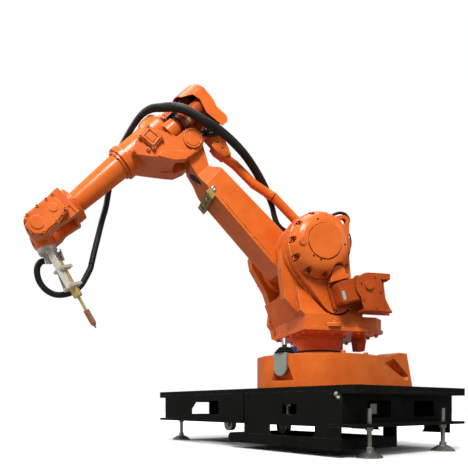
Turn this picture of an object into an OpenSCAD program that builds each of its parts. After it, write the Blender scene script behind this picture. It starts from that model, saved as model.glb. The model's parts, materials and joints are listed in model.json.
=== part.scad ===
// Six-axis industrial robot arm with a parallel rod, a straight machine torch and a steel skid.
// Millimetres. Origin: axis 1 at floor level. +X is the front of the foot, +Y its left, +Z up.

/* [Skid] */
// Height of the deck's top above the floor
deck_top = 272; // [220:1:340]
// Thickness of the deck plate
deck_t = 20; // [12:1:30]
// Half width of the skid, front to back
skid_half = 375; // [365:1:450]
// Deck edge on the left of axis 1
skid_left = 535; // [480:1:700]
// Deck edge on the right of axis 1
skid_right = 865; // [700:1:1000]
// Depth of the frame beams
beam_h = 137; // [120:1:150]
// Flange width of the end beams
beam_w = 130; // [100:1:150]
// Flange thickness of the end beams
beam_flange = 12; // [8:1:16]
// Web thickness of the end beams
beam_web = 8; // [6:1:12]
// Thickness of the long side plates
side_t = 10; // [8:1:16]
// Height of the low tray's rails
tray_h = 44; // [30:1:50]
// Floor clearance of the low tray
tray_gap = 28; // [20:1:40]
// Diameter of the levelling screws
screw_d = 18; // [14:1:24]
// Diameter of the levelling pads
pad_d = 100; // [70:1:120]
// Diameter of the transport rollers
roller_d = 64; // [50:1:70]

/* [Foot] */
// Radius of the foot's round front
foot_r = 290; // [270:1:310]
// Height of the foot
foot_h = 150; // [130:1:170]
// Distance from axis 1 to the back of the foot
foot_back = 350; // [320:1:360]
// Radius of the fixed neck boss
neck_r = 118; // [105:1:125]
// Height of the fixed neck boss above the foot
neck_h = 24; // [15:1:30]

/* [Arm geometry] */
// Height of axis 2 above the foot's underside
axis2_z = 615; // [600:1:650]
// Distance from axis 1 to axis 2
axis2_x = 100; // [90:1:120]
// Length of the lower arm between axes
lower_len = 705; // [680:1:800]
// Height of the forearm axis over axis 3
elbow_rise = 135; // [130:1:145]
// Distance from axis 3 to the wrist centre
reach_len = 755; // [740:1:850]
// Distance from the wrist centre to the tool flange
flange_x = 85; // [82:1:95]
// Length of the parallel crank between its pins
crank_len = 115; // [105:1:120]

/* [Turret] */
// Underside of the turret plate above the deck
turret_z = 250; // [240:1:262]
// Thickness of the turret plate
turret_plate = 16; // [12:1:20]
// Radius of the gear case round axis 2
case_r = 150; // [145:1:160]
// Outer face of the gear case from the middle plane
case_y = 240; // [225:1:250]
// How far the gear cover stands out of its case
cover_h = 75; // [60:1:85]
// Radius of the raised disc on the gear cover
disc_r = 77; // [60:1:90]

/* [Lower arm] */
// Half width of the lower arm
arm_half = 90; // [84:1:92]
// Half width of the lower arm's top end
arm_top_half = 60; // [52:1:62]
// Radius of the arm's hubs at axis 2
hub_r = 146; // [135:1:149]
// Outer face of the hubs from the middle plane
hub_y = 134; // [125:1:136]
// Radius of the boss at axis 3
elbow_r = 48; // [44:1:50]
// Radius of the elbow pin
elbow_pin_r = 26; // [20:1:30]
// Diameter of the parallel rod
rod_d = 42; // [36:1:46]

/* [Upper arm] */
// Outer face of the near elbow ear
ear_y = 86; // [80:1:90]
// Radius of the ring at the housing's front
ring_r = 72; // [68:1:80]
// Front face of the housing ring
ring_x = 290; // [280:1:300]
// Radius of the forearm tube at the back
tube_r1 = 54; // [50:1:60]
// Radius of the forearm tube at the front
tube_r2 = 44; // [40:1:50]
// Radius of the wrist drive motors
motor_r = 37; // [34:1:37]

/* [Wrist] */
// Half width of the wrist housing
wrist_half = 100; // [95:1:104]
// Thickness of the bolted wrist covers
wrist_cover = 35; // [20:1:40]
// Radius of the wrist covers' round end
wrist_r = 52; // [48:1:58]
// Radius of the tilt drum
drum_r = 48; // [44:1:50]
// Half width of the tilt drum
drum_half = 52; // [48:1:54]

/* [Torch] */
// Width of the bracket's bar
bar_w = 32; // [28:1:40]
// Length of the bracket
bar_len = 178; // [160:1:200]
// Tilt of the torch from the bracket
torch_tilt = 8.7; // [0:0.1:15]
// Distance from the wrist centre to the front clamp plate
clamp_x = 255; // [240:1:262]
// Diameter of the torch body
torch_d = 30; // [28:1:34]
// Diameter of the torch neck
neck_d = 13; // [10:1:18]
// Diameter of the gas nozzle
nozzle_d = 25; // [20:1:28]
// Length of the gas nozzle
nozzle_len = 72; // [50:1:80]
// Length of the torch in front of its front clamp
torch_len = 197; // [180:1:220]
// Outer diameter of the hose package
hose_d = 26; // [20:1:30]
// Outer diameter of its protective sleeve
sleeve_d = 38; // [34:1:42]

/* [Rest pose] */
// Turn of the turret from the foot's front
yaw = -23; // [-60:1:60]
// Lean of the lower arm from the vertical
lean = 48.1; // [30:0.1:60]
// Dip of the upper arm below the horizontal
dip = 44.6; // [30:0.1:60]
// Bend of the wrist
bend = 65.7; // [40:0.1:90]

/* [Hidden] */

// Small gap between pieces that turn against each other
turn_gap = 0.3;
// Facets of exact round forms
$fn = 64;
orange = "darkorange";
black = "#151515";
steel = "silver";

// Height of the beams' underside above the floor
beam_z = deck_top - deck_t - beam_h;
// Distance of an end beam's middle from the deck's end
beam_in = beam_w / 2;
// Top of the low tray's rails
tray_top = tray_gap + tray_h;
// Underside of the turret neck above the deck
neck_top = foot_h + neck_h;
seal_h = 5;
// Fork gap of the lower arm round the crank
fork_half = 40;
crank_half = 34;
// Hub of the crank where the rod passes it, and the lever's edge on the rod's side
crank_hub_r = 31;
lever_top = 12;
// Half thickness of the single lugs, radius of the eyes and of their pins
lug_half = 15;
eye_r = 30;
rod_pin_r = 14;
// Radius of the shaft that turns the crank
shaft_r = 40;
// The rod's forks stand clear of the lugs, and their plates are this thick
fork_gap = 0.3;
fork_t = 13;
// Inner face of the gear cases
wall_y = hub_y + turn_gap;
// Elbow ears start clear of the arm's top end
ear_in = arm_top_half + turn_gap;
far_ear_y = 130;

// Frames: each one puts the robot's pieces where the rest pose has them
module at_turret() { translate([0, 0, deck_top]) rotate([0, 0, yaw]) children(); }
module at_lower() { at_turret() translate([axis2_x, 0, axis2_z]) rotate([0, lean, 0]) children(); }
module at_crank() { at_turret() translate([axis2_x, 0, axis2_z]) rotate([0, dip, 0]) children(); }
module at_upper() {
    at_turret()
        translate([axis2_x + lower_len * sin(lean), 0, axis2_z + lower_len * cos(lean)])
        rotate([0, dip, 0]) children();
}
module at_wrist() { at_upper() translate([reach_len, 0, elbow_rise]) children(); }
module at_tool() { at_wrist() rotate([0, bend, 0]) children(); }

// A profile drawn in X and Z, made solid from y0 to y1
module slab(y0, y1) {
    translate([0, y1, 0]) rotate([90, 0, 0]) linear_extrude(y1 - y0) children();
}
// A round bar along Y
module y_bar(r, y0, y1) { translate([0, y1, 0]) rotate([90, 0, 0]) cylinder(r = r, h = y1 - y0); }
// A round bar along X
module x_bar(r, x0, x1) { translate([x0, 0, 0]) rotate([0, 90, 0]) cylinder(r = r, h = x1 - x0); }
// A plate with round corners, centred, in the XY plane
module round_plate(w, d, r, t) {
    linear_extrude(t) union() {
        square([w - 2 * r, d], center = true);
        square([w, d - 2 * r], center = true);
        for (x = [-1, 1], y = [-1, 1])
            translate([x * (w / 2 - r), y * (d / 2 - r)]) circle(r);
    }
}

// Skid
module deck_plate() {
    color(black) translate([-skid_half, -skid_right, deck_top - deck_t])
        cube([2 * skid_half, skid_left + skid_right, deck_t]);
}
// I-section along X with two fork pockets through its web
module end_beams() { for (y = [near_mid, far_mid]) end_beam(y); }
module end_beam(y_mid) {
    pocket_x = 78;
    pocket_w = 150;
    pocket_z = beam_z + 34;
    pocket_h = 67;
    color(black) difference() {
        translate([-skid_half, y_mid, beam_z]) rotate([90, 0, 90])
            linear_extrude(2 * skid_half) union() {
                translate([-beam_w / 2, 0]) square([beam_w, beam_flange]);
                translate([-beam_w / 2, beam_h - beam_flange]) square([beam_w, beam_flange]);
                translate([-beam_web / 2, 0]) square([beam_web, beam_h]);
            }
        for (s = [-1, 1])
            translate([s > 0 ? pocket_x : -pocket_x - pocket_w, y_mid - beam_w, pocket_z])
                cube([pocket_w, 2 * beam_w, pocket_h]);
        for (x = foot_xs)
            translate([x, foot_y(y_mid), beam_z - 1]) cylinder(d = screw_d + 1, h = beam_flange + 2);
    }
}
foot_xs = [-skid_half + 123, skid_half - 123];
// The levelling screws stand in the outer half of each end beam's flange
function foot_y(y_mid) = y_mid + sign(y_mid) * beam_w / 4;
near_mid = skid_left - beam_in;
far_mid = -skid_right + beam_in;

// Long side plate: deep columns reach down to the low tray, coves blend them in
module side_profile() {
    top = deck_top - deck_t;
    y0 = far_mid + beam_web / 2;
    y1 = near_mid - beam_web / 2;
    gap_y = -107;
    cove = 22;
    difference() {
        union() {
            translate([y0, beam_z]) square([gap_y - y0, beam_h]);
            translate([gap_y + 10, beam_z]) square([y1 - gap_y - 10, beam_h]);
            translate([gap_y + 10, tray_top]) square([166, beam_z - tray_top + 1]);
            translate([y1 - 127, tray_top]) square([127, beam_z - tray_top + 1]);
            translate([gap_y + 176, tray_top]) difference() {
                square([cove, cove]);
                translate([cove, cove]) circle(cove);
            }
            translate([y1 - 127 - cove, tray_top]) difference() {
                square([cove, cove]);
                translate([0, cove]) circle(cove);
            }
        }
        polygon([[-544, 153], [-295, 153], [-295, 220], [-500, 220], [-544, 178]]);
        translate([151, 160]) square([88, 44]);
        // Notches for the end beams' flanges
        for (y = [y0 - 1, near_mid - beam_in], z = [beam_z, top - beam_flange])
            translate([y, z]) square([beam_in + 1, beam_flange]);
    }
}
module side_plate(x0) {
    color(black) translate([x0, 0, 0]) rotate([90, 0, 90]) linear_extrude(side_t) side_profile();
}
module side_plates() { for (x = [-skid_half, skid_half - side_t]) side_plate(x); }
// Cross channels under the foot
module cross_members() {
    span = 2 * (skid_half - side_t);
    color(black) for (y = [-90, 135, 250, 350])
        translate([-span / 2, y, beam_z]) difference() {
            cube([span, 50, beam_h]);
            translate([-1, 8, 8]) cube([span + 2, 50, beam_h - 16]);
        }
}
// Low tray under the front of the frame, with a rounded nose
module low_tray() {
    x0 = 27;
    y0 = -215;
    y1 = near_mid - beam_web / 2;
    wall = 40;
    nose = 21;
    color(black) difference() {
        union() {
            translate([x0, y0 + nose, tray_gap]) cube([skid_half - x0, y1 - y0 - nose, tray_h]);
            translate([x0, y0 + nose, tray_gap + tray_h / 2]) rotate([0, 90, 0])
                cylinder(r = tray_h / 2, h = skid_half - x0);
        }
        translate([x0 + wall, y0 + nose + wall, tray_gap + 8])
            cube([skid_half - x0 - 2 * wall, y1 - y0 - nose - 2 * wall, tray_h]);
    }
    color(black) translate([x0, y1 - 60, tray_top]) cube([12, 60, beam_z - tray_top]);
}
// Transport rollers, each in a fork that hangs from the deck
roller_x = skid_half - 75;
roller_ys = [-301, 85];
roller_z = tray_top + 2 + roller_d / 2;
module rollers() {
    for (y = roller_ys) color("dimgray") translate([roller_x, y, roller_z]) rotate([0, 0, 90]) {
        y_bar(roller_d / 2, -14, 14);
        y_bar(6, -24, 24);
        for (s = [-1, 1]) translate([0, s * 20, 0]) slab(-3, 3) union() {
            circle(14);
            translate([-14, 0]) square([28, deck_top - deck_t - roller_z]);
        }
        translate([-22, -23, deck_top - deck_t - roller_z - 6]) cube([44, 46, 6]);
    }
}
// Threaded levelling feet: domed pad, screw and two nuts
module levelling_feet() {
    for (x = foot_xs, ym = [near_mid, far_mid]) translate([x, foot_y(ym), 0]) {
        color("gray") rotate_extrude() polygon([[0, 0], [pad_d / 2, 0], [pad_d / 2, 5],
            [pad_d / 2 - 14, 15], [pad_d / 4, 22], [15, 25], [0, 25]]);
        color(steel) translate([0, 0, 20]) cylinder(d = screw_d, h = 165);
        color(steel) translate([0, 0, 25]) cylinder(d = 30, h = 14, $fn = 6);
        color(steel) translate([0, 0, beam_z - 14]) cylinder(d = 30, h = 14, $fn = 6);
    }
}

// Foot casting: round front with a niche under the bracket, squared back with raised and sloped corners
module robot_foot() {
    side = 290;
    slope = 50;
    raise = 20;
    ledge = 34;
    color(orange) translate([0, 0, deck_top]) difference() {
        union() {
            cylinder(r = foot_r, h = foot_h);
            // Raised back corners with a saddle between them
            for (s = [0, 1]) mirror([0, s, 0]) slab(side - 110, side) polygon([[0, 0], [-foot_back, 0],
                [-foot_back + slope, foot_h + raise], [-foot_back + slope + 62, foot_h + raise],
                [-150, foot_h - 4], [0, foot_h - 4]]);
            slab(-side + 109, side - 109) polygon([[0, 0], [-foot_back, 0], [-foot_back + slope - 5, foot_h],
                [0, foot_h]]);
            cylinder(r = neck_r, h = neck_top);
            translate([0, 0, foot_h - 1]) cylinder(r = neck_r + 16, h = 7);
        }
        for (s = [0, 1]) mirror([0, s, 0]) {
            // Sloped recess that runs down to the corner's bolt
            hull() {
                translate([-130, side + 1, foot_h - 34]) cube([1, 1, 1]);
                translate([-300, side + 1, 40]) cube([1, 1, 1]);
                translate([-318, side + 1, 62]) cube([1, 1, 1]);
                translate([-200, side + 1, foot_h - 10]) cube([1, 1, 1]);
                translate([-282, side - 42, 50]) cube([1, 1, 12]);
                translate([-215, side - 30, foot_h - 42]) cube([1, 1, 1]);
            }
            translate([-286, side - 20, -1]) cylinder(r = 9, h = 90);
            // Small leveling bores near the front
            translate([200, 200, -1]) cylinder(r = 9, h = foot_h + 2);
        }
        // Niche under the bracket, its cheeks drawn in towards the top
        rotate([0, 0, boot_angle]) hull() {
            translate([foot_r - 38, -30, ledge]) cube([1, 60, 1]);
            translate([foot_r - 2, -64, ledge]) cube([6, 128, 1]);
            translate([foot_r - 4, -bracket_w / 2, foot_h - 50]) cube([8, bracket_w, 1]);
        }
        // Cable entry at the back
        translate([-foot_back - 10, -60, 40]) cube([60, 120, 70]);
    }
}
module axis1_seal() {
    color(black) translate([0, 0, deck_top + neck_top]) difference() {
        cylinder(r = neck_r + 4, h = seal_h);
        translate([0, 0, -1]) cylinder(r = neck_r - 30, h = seal_h + 2);
    }
}
// Rounded bracket on the foot's front, with a rubber boot and its plunger on top
boot_angle = 10.5;
boot_x = foot_r - 7;
bracket_w = 68;
bracket_t = 10;
module boot_bracket() {
    low = 55;
    color("gray") translate([0, 0, deck_top]) rotate([0, 0, boot_angle]) {
        translate([foot_r + 0.2, 0, low]) rotate([90, 0, 90]) linear_extrude(bracket_t) union() {
            translate([-bracket_w / 2, bracket_w / 2]) square([bracket_w, foot_h - low - bracket_w / 2]);
            translate([0, bracket_w / 2]) circle(bracket_w / 2);
        }
        translate([foot_r - 60, -bracket_w / 2, foot_h]) cube([60.2 + bracket_t, bracket_w, 6]);
    }
}
module cable_boot() {
    translate([0, 0, deck_top + foot_h + 6]) rotate([0, 0, boot_angle]) translate([boot_x - 16, 0, 0]) {
        color(black) rotate_extrude() polygon([[0, 0], [40, 0], [46, 5], [36, 9], [38, 14], [28, 18],
            [30, 22], [18, 28], [0, 28]]);
        color(steel) translate([16, 0, 0]) translate([-16, 0, 28]) cylinder(d = 20, h = 40);
    }
}

// Turret
neck_turn_z = neck_top + seal_h + turn_gap;
// Turret body on its plate, and the radius of the gear case's lower lobe, which clears it
body_z = turret_z + turret_plate;
body_h = 50;
lobe_r = 85;
module turret_outline() {
    polygon([[170, -150], [170, 250], [-180, 250], [-240, 190], [-240, -190], [-180, -250],
        [70, -250]]);
}
module turret_frame() {
    color(orange) at_turret() {
        translate([0, 0, turret_z]) linear_extrude(turret_plate) turret_outline();
        // Neck over the foot
        translate([0, 0, neck_turn_z]) cylinder(r = neck_r + 2, h = turret_z - neck_turn_z);
        // Register ring for the neck's bolts
        translate([0, 0, turret_z - 8]) cylinder(r = neck_r + 14, h = 9);
        // Body between the side walls, open above for the lower arm
        translate([0, 0, body_z]) linear_extrude(body_h) polygon([[162, -146], [162, near_side],
            [-176, near_side], [-232, 187], [-232, -187], [-176, -near_side], [66, -near_side]]);
        slab(-far_wall_y, near_wall_y) polygon([[155, body_z + body_h], [185, 380], [205, 430],
            [185, 440], [-50, 330], [-50, body_z + body_h]]);
        // Ribs on the pocket's floor
        for (y = [-50, 50]) slab(y - 8, y + 8) polygon([[-40, 320], [190, 430], [172, 470], [120, 462]]);
        difference() {
            union() {
                // Near and far side walls
                slab(wall_y, near_wall_y) polygon([[145, 300], [235, 394], [252, 522], [250, 570],
                    [235, 650], [170, 740], [60, 750], [-30, 690], [-50, 600], [-120, 310]]);
                slab(-far_wall_y, -wall_y) polygon([[150, 300], [217, 487], [249, 540], [286, 600],
                    [296, 652], [282, 690], [230, 750], [100, 790], [-20, 750], [-70, 640], [-120, 310]]);
                wall_flare(near_wall_y, near_side);
                mirror([0, 1, 0]) wall_flare(far_wall_y, near_side);
                // Lifting lugs behind the cases
                for (y = [near_wall_y - 1, -near_wall_y - 23]) slab(y, y + 24) lug_profile();
            }
            // Room for the gear cases
            slab(near_wall_y, case_y + 10) case_profile(turn_gap);
            slab(-case_y - 10, -far_wall_y) case_profile(turn_gap);
        }
    }
}
near_wall_y = wall_y + 50;
far_wall_y = wall_y + 60;
near_side = 240;
// Sloping foot of a side wall, from its outer face down to the body's side
module wall_flare(wall, side) {
    difference() {
        rotate([90, 0, 90]) translate([0, 0, -110]) linear_extrude(290) polygon([[wall - 1, body_z],
            [side, body_z], [side, body_z + body_h + 6], [wall + 14, 430], [wall - 1, 450]]);
        // The flare ends along the wall's raked front edge
        slab(wall - 2, side + 10) polygon([[140, 200], [160, 310], [230, 400], [230, 500], [300, 500],
            [300, 200]]);
    }
}
// Rounded lug with a hole
module lug_profile() {
    difference() {
        union() {
            translate([-34, 742]) circle(30);
            polygon([[-60, 640], [-63, 740], [-20, 770], [40, 750], [40, 640]]);
        }
        translate([-34, 744]) circle(13);
    }
}
// Drop-shaped gear case on a side wall
module case_profile(grow) {
    hull() {
        translate([axis2_x, axis2_z]) circle(case_r + grow);
        translate([15, body_z + body_h + lobe_r + turn_gap]) circle(lobe_r + grow);
    }
}
// Flange against the wall, a narrower body on it, and bolt bosses along the front edge
case_step = 9;
module gear_case(wall) {
    flange = 24;
    color(orange) {
        slab(wall, wall + flange) case_profile(0);
        slab(wall + flange - 0.5, case_y) case_profile(-case_step);
        for (b = [[147, 474], [92, 408]]) translate([b[0], 0, b[1]]) y_bar(15, wall + 1, case_y - 14);
        // Neck from the cover down to the motor's flange
        slab(case_y - 1, case_y + 40) union() {
            translate([22, 496]) circle(30);
            polygon([[62, 450], [52, 496], [-8, 496], [-30, 478.5]]);
        }
    }
}
module axis2_case() { at_turret() gear_case(near_wall_y); }
module axis3_case() { at_turret() mirror([0, 1, 0]) gear_case(far_wall_y); }
// Domed gear cover: raised disc in a groove, bolt pockets round the rim, a plug, and an arched recess
// where the case's neck comes in
module gear_cover() {
    rim = 143;
    bolts = 11;
    plug_r = 17;
    color(orange) difference() {
        union() {
            rotate_extrude() polygon(concat([[0, 0], [rim, 0], [rim, 14]],
                [for (a = [0 : 10 : 90]) [disc_r + (rim - 4 - disc_r) * cos(a), 16 + (cover_h - 21) * sin(a)]],
                [[disc_r, cover_h - 5], [disc_r, cover_h - 9], [disc_r - 3, cover_h - 9], [disc_r - 3, cover_h],
                    [0, cover_h]]));
            translate([98, 6, 20]) cylinder(r = plug_r, h = cover_h - 23);
        }
        for (i = [0 : bolts - 1]) rotate([0, 0, 30 - i * 360 / bolts]) translate([rim - 9, 0, 12])
            cylinder(r = 14, h = cover_h);
        translate([22 - axis2_x, axis2_z - 496, -1]) cylinder(r = 38, h = cover_h + 2);
    }
}
module axis2_cover() {
    at_turret() translate([axis2_x, case_y, axis2_z]) rotate([-90, 0, 0]) gear_cover();
}
module axis3_cover() {
    at_turret() mirror([0, 1, 0]) translate([axis2_x, case_y, axis2_z]) rotate([-90, 0, 0]) gear_cover();
}
// Motor on a gear case, drawn in X and Z with its height away from the case: tilted flange and body,
// round rear bell, flat guard over it with a knob, and the bracket that carries the guard
motor_tilt = 17;
module guard_profile() {
    translate([-88, 430]) circle(58);
    polygon([[-34, 452], [-67, 332], [-160, 326], [-163, 390], [-145, 440], [-88, 480]]);
}
module side_motor() {
    guard_z = 89;
    guard_t = 6;
    color(orange) {
        translate([-4, 408, 1]) rotate([0, 0, -motor_tilt]) {
            round_plate(112, 118, 16, 15);
            translate([-12, 0, 14]) round_plate(112, 96, 18, 66);
            translate([-12, -12, 79]) round_plate(104, 60, 6, 4);
        }
        translate([-100, 425, 12]) cylinder(r = 60, h = guard_z - 11);
        translate([0, 0, guard_z]) linear_extrude(guard_t) guard_profile();
        translate([-88, 434, guard_z]) cylinder(r = 19, h = guard_t + 10);
        translate([0, 0, 4]) linear_extrude(9) polygon([[-50, 350], [-50, 470], [-70, 495], [-226, 506],
            [-226, 478], [-206, 470], [-216, 400], [-250, 338], [-120, 338]]);
        translate([-226, 480, 4]) cube([100, 26, 30]);
        translate([-236, 326, 4]) cube([170, 13, 9]);
        translate([-200, 326, 4]) cube([134, 7, guard_z]);
    }
}
module axis2_motor() {
    at_turret() translate([0, case_y, 0]) rotate([90, 0, 0]) mirror([0, 0, 1]) side_motor();
}
module axis3_motor() {
    at_turret() translate([0, -case_y, 0]) rotate([90, 0, 0]) side_motor();
}
module axis1_motor() {
    color(orange) at_turret() translate([-165, 0, body_z + body_h]) {
        round_plate(130, 130, 14, 14);
        translate([0, 0, 14]) round_plate(104, 104, 12, 90);
        translate([0, 0, 104]) cylinder(r = 50, h = 46);
    }
}
// Tapered lug under the turret that meets the stop on the foot
module stop_lug() {
    color(orange) at_turret() translate([-222, 0, turret_z]) slab(-24, 24)
        polygon([[-26, 0], [33, 0], [24, -60], [-16, -60]]);
}

// Lower arm: forked at axis 2 round the crank, narrow at axis 3 between the elbow ears
module arm_outline() {
    top = lower_len;
    polygon([[-3, 60], [-3, top - 165], [20, top - 125], [-elbow_r + 2, top - 15], [0, top],
        [elbow_r - 4, top - 20], [76, top - 65], [100, top - 155], [front_end, top - 245],
        [138, 100], [138, 30], [100, -60], [0, -100]]);
    circle(hub_r - 20);
    translate([0, lower_len]) circle(elbow_r);
}
module lower_arm() {
    color(orange) at_lower() difference() {
        union() {
            slab(-arm_half, arm_half) arm_outline();
            y_bar(hub_r, arm_half - 1, hub_y);
            y_bar(hub_r, -hub_y, -arm_half + 1);
        }
        // Side ramps to the narrow top
        for (s = [0, 1]) mirror([0, s, 0])
            rotate([90, 0, 90]) translate([0, 0, -100]) linear_extrude(300)
                polygon([[arm_top_half, lower_len - 120], [arm_half + 1, lower_len - 175],
                    [arm_half + 60, lower_len - 175], [arm_half + 60, lower_len + 95],
                    [arm_top_half, lower_len + 95]]);
        // Fork for the crank
        slab(-fork_half, fork_half) union() {
            circle(76);
            polygon([[-200, -200], [40, -200], [60, 40], [20, 130], [-200, 150]]);
        }
        // Elbow bore and crank shaft bore
        translate([0, 0, lower_len]) y_bar(elbow_pin_r + 0.05, -100, 100);
        y_bar(shaft_r + turn_gap, -hub_y - 1, -fork_half + 1);
        // Parting groove along the front edge of each side
        for (y = [-arm_half - 1, arm_half - 2]) slab(y, y + 3) polygon([[front_end - 10, lower_len - 250],
            [front_end - 13, lower_len - 250], [121, 120], [124, 120]]);
        // Slot in the front face near the top
        translate([60, -14, lower_len - 145]) cube([60, 10, 90]);
    }
}
// Bronze buffer block across the arm's front face, which slopes there
front_end = 110;
function front_x(z) = front_end - (z - lower_len + 245) / 9;
module arm_buffer() {
    low = lower_len - 235;
    high = low + 40;
    color("darkgoldenrod") at_lower() slab(-arm_half - 8, arm_half + 8) polygon([
        [front_x(low) + turn_gap, low], [front_x(low) + 26, low],
        [front_x(high) + 26, high], [front_x(high) + turn_gap, high]]);
}

// Parallel crank on the axis of axis 2: hub, single lug with its pin, and the shaft that turns it
module parallel_crank() {
    color(orange) at_crank() {
        y_bar(crank_hub_r, -crank_half, crank_half);
        slab(-lug_half, lug_half) union() {
            polygon([[0, crank_hub_r - 1], [-30, lever_top], [-crank_len, lever_top],
                [-crank_len, -eye_r + 1], [-40, -60], [14, -60], [crank_hub_r - 2, 0]]);
            translate([-crank_len, 0]) circle(eye_r);
        }
        translate([-crank_len, 0, 0]) y_bar(rod_pin_r, -crank_half, crank_half);
        y_bar(shaft_r, -hub_y, -crank_half + 1);
    }
}
// Rod: a fork at both ends, an upper plate with two holes, and soft bends in the tube
rod_bends = [[0, 84], [-20, 150], [-20, 290], [8, lower_len - 305], [10, lower_len - 185],
    [20, lower_len - 130]];
// The tube is a little thicker where it bends
bend_swell = 1.2;
module rod_stick(a, b) {
    d = b - a;
    translate([a[0], 0, a[1]]) rotate([0, atan2(d[0], d[1]), 0]) cylinder(d = rod_d, h = norm(d));
    translate([b[0], 0, b[1]]) sphere(d = rod_d + bend_swell);
}
module parallel_rod() {
    fork_half_w = lug_half + fork_gap + fork_t;
    pivot_turn = lean - dip;
    color(orange) at_lower() translate([-crank_len * cos(pivot_turn), 0, -crank_len * sin(pivot_turn)])
        difference() {
            union() {
                y_bar(eye_r - 3, -fork_half_w, fork_half_w);
                slab(-fork_half_w, fork_half_w)
                    polygon([[-eye_r + 4, 0], [eye_r - 4, 0], [18, 84], [-18, 84]]);
                for (i = [0 : len(rod_bends) - 2]) rod_stick(rod_bends[i], rod_bends[i + 1]);
                slab(-fork_half_w, fork_half_w) polygon([[2, lower_len - 145], [36, lower_len - 130],
                    [44, lower_len - 85], [40, lower_len - 57], [27, lower_len - 53], [26, lower_len],
                    [-26, lower_len], [-32, lower_len - 65], [-12, lower_len - 115]]);
                translate([0, 0, lower_len]) y_bar(eye_r - 3, -fork_half_w, fork_half_w);
            }
            slab(-lug_half - fork_gap, lug_half + fork_gap) union() {
                circle(eye_r + 5);
                translate([-eye_r - 30, -eye_r - 10]) square([2 * eye_r + 60, eye_r + 16]);
                // Room for the crank's lever when the rod lies along it
                polygon([[-lever_top - 3, 8], [36, 102], [60, 102], [60, -40], [-lever_top - 3, -40]]);
                translate([0, lower_len]) circle(eye_r + 5);
                translate([-eye_r - 30, lower_len - 6]) square([2 * eye_r + 60, eye_r + 16]);
            }
            y_bar(rod_pin_r + 0.05, -60, 60);
            translate([0, 0, lower_len]) y_bar(rod_pin_r + 0.5, -60, 60);
            for (p = [[8, lower_len - 65], [12, lower_len - 100]]) translate([p[0], 0, p[1]]) y_bar(4, -60, 60);
        }
}

// Upper arm housing: barrel and drum round the forearm axis, an ear each side of the elbow, a belly
// under the far side, seats for the drive motors, a lug for the rod, and the forearm's ring
motor_y = 52;
motor_z = 90;
motor_mid_z = 145;
motor_face = 12;
barrel_r = ring_r - 8;
drum_r2 = barrel_r + 14;
module near_ear_profile() {
    circle(elbow_r + 2);
    polygon([[-30, -40], [19, -52], [87, -46], [126, -20], [172, 34], [243, 106], [250, 116],
        [243, 126], [180, 150], [110, 150], [64, 80], [50, 50], [0, 48]]);
}
module far_ear_profile() {
    circle(elbow_r + 2);
    polygon([[-30, -40], [60, -40], [108, -26], [140, 4], [222, 88], [239, 110], [239, 140],
        [110, 150], [64, 80], [50, 50], [0, 48]]);
}
module upper_housing() {
    color(orange) at_upper() difference() {
        union() {
            translate([0, 0, elbow_rise]) rotate([0, 90, 0]) {
                // Drum with round shoulders, then the barrel and its ring
                rotate_extrude() polygon([[0, 40], [drum_r2 - 16, 40], [drum_r2 - 5, 45], [drum_r2, 56],
                    [drum_r2, 104], [drum_r2 - 5, 114], [barrel_r, 124], [barrel_r, ring_x - 28],
                    [ring_r - 3, ring_x - 28], [ring_r, ring_x - 25], [ring_r, ring_x], [0, ring_x]]);
            }
            // Web between the ears
            slab(-ear_in, ear_in) polygon([[44, 62], [60, 135], [240, 135], [222, 88], [172, 36],
                [112, -14], [104, 56]]);
            slab(ear_in - 0.01, ear_y) near_ear_profile();
            // Raised band along the near ear's lower edge
            slab(ear_y - 0.01, ear_y + 4) polygon([[27, -36], [66, -18], [120, 34], [150, 44], [172, 40],
                [126, -18], [87, -44], [28, -48]]);
            slab(-far_ear_y, -ear_in + 0.01) far_ear_profile();
            // Seats of the three drive motors
            for (y = [-motor_y, motor_y]) translate([motor_face + turn_gap, y, motor_z]) x_bar(43, 0, 50);
            translate([motor_face + turn_gap, 0, motor_mid_z]) x_bar(43, 0, 50);
            // Lug for the rod, with its pin
            slab(-lug_half, lug_half) union() {
                translate([-crank_len, 0]) circle(eye_r);
                polygon([[50, 80], [50, 56], [-20, 56], [-62, 30],
                    [-crank_len + 24, -18], [-crank_len - 28, 10], [-70, 70]]);
            }
            translate([-crank_len, 0, 0]) y_bar(rod_pin_r, -crank_half, crank_half);
            // Screw bosses on the near side
            for (b = [[240, 116], [186, 84]]) translate([b[0], 0, b[1]]) y_bar(9, ear_y - 1, ear_y + 8);
        }
        y_bar(elbow_pin_r + 0.05, -far_ear_y + 30, ear_y + 1);
    }
}
// Elbow pin with its round cap on the near ear
module elbow_pin() {
    color("orangered") at_upper() {
        y_bar(elbow_pin_r, -far_ear_y + 31, ear_y + 0.3);
        // Cap with a ring groove
        difference() {
            y_bar(41, ear_y + 0.3, ear_y + 10);
            difference() {
                y_bar(35, ear_y + 7, ear_y + 11);
                y_bar(32, ear_y + 6, ear_y + 12);
            }
        }
    }
}
// Bolted access cover on the near side: corner ears, raised frame and an inner panel
module drive_cover() {
    color(orange) at_upper() translate([143, ear_y, 111]) rotate([0, 9, 0]) rotate([-90, 0, 0]) {
        round_plate(62, 76, 6, 12);
        for (x = [-28, 28], y = [-35, 35]) translate([x, y, 0]) cylinder(r = 9, h = 12);
        translate([0, 0, 11.5]) difference() {
            round_plate(52, 60, 6, 8);
            translate([0, 0, 4]) round_plate(40, 48, 5, 8);
        }
        translate([0, 0, 12]) round_plate(30, 38, 4, 6);
    }
}
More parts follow.
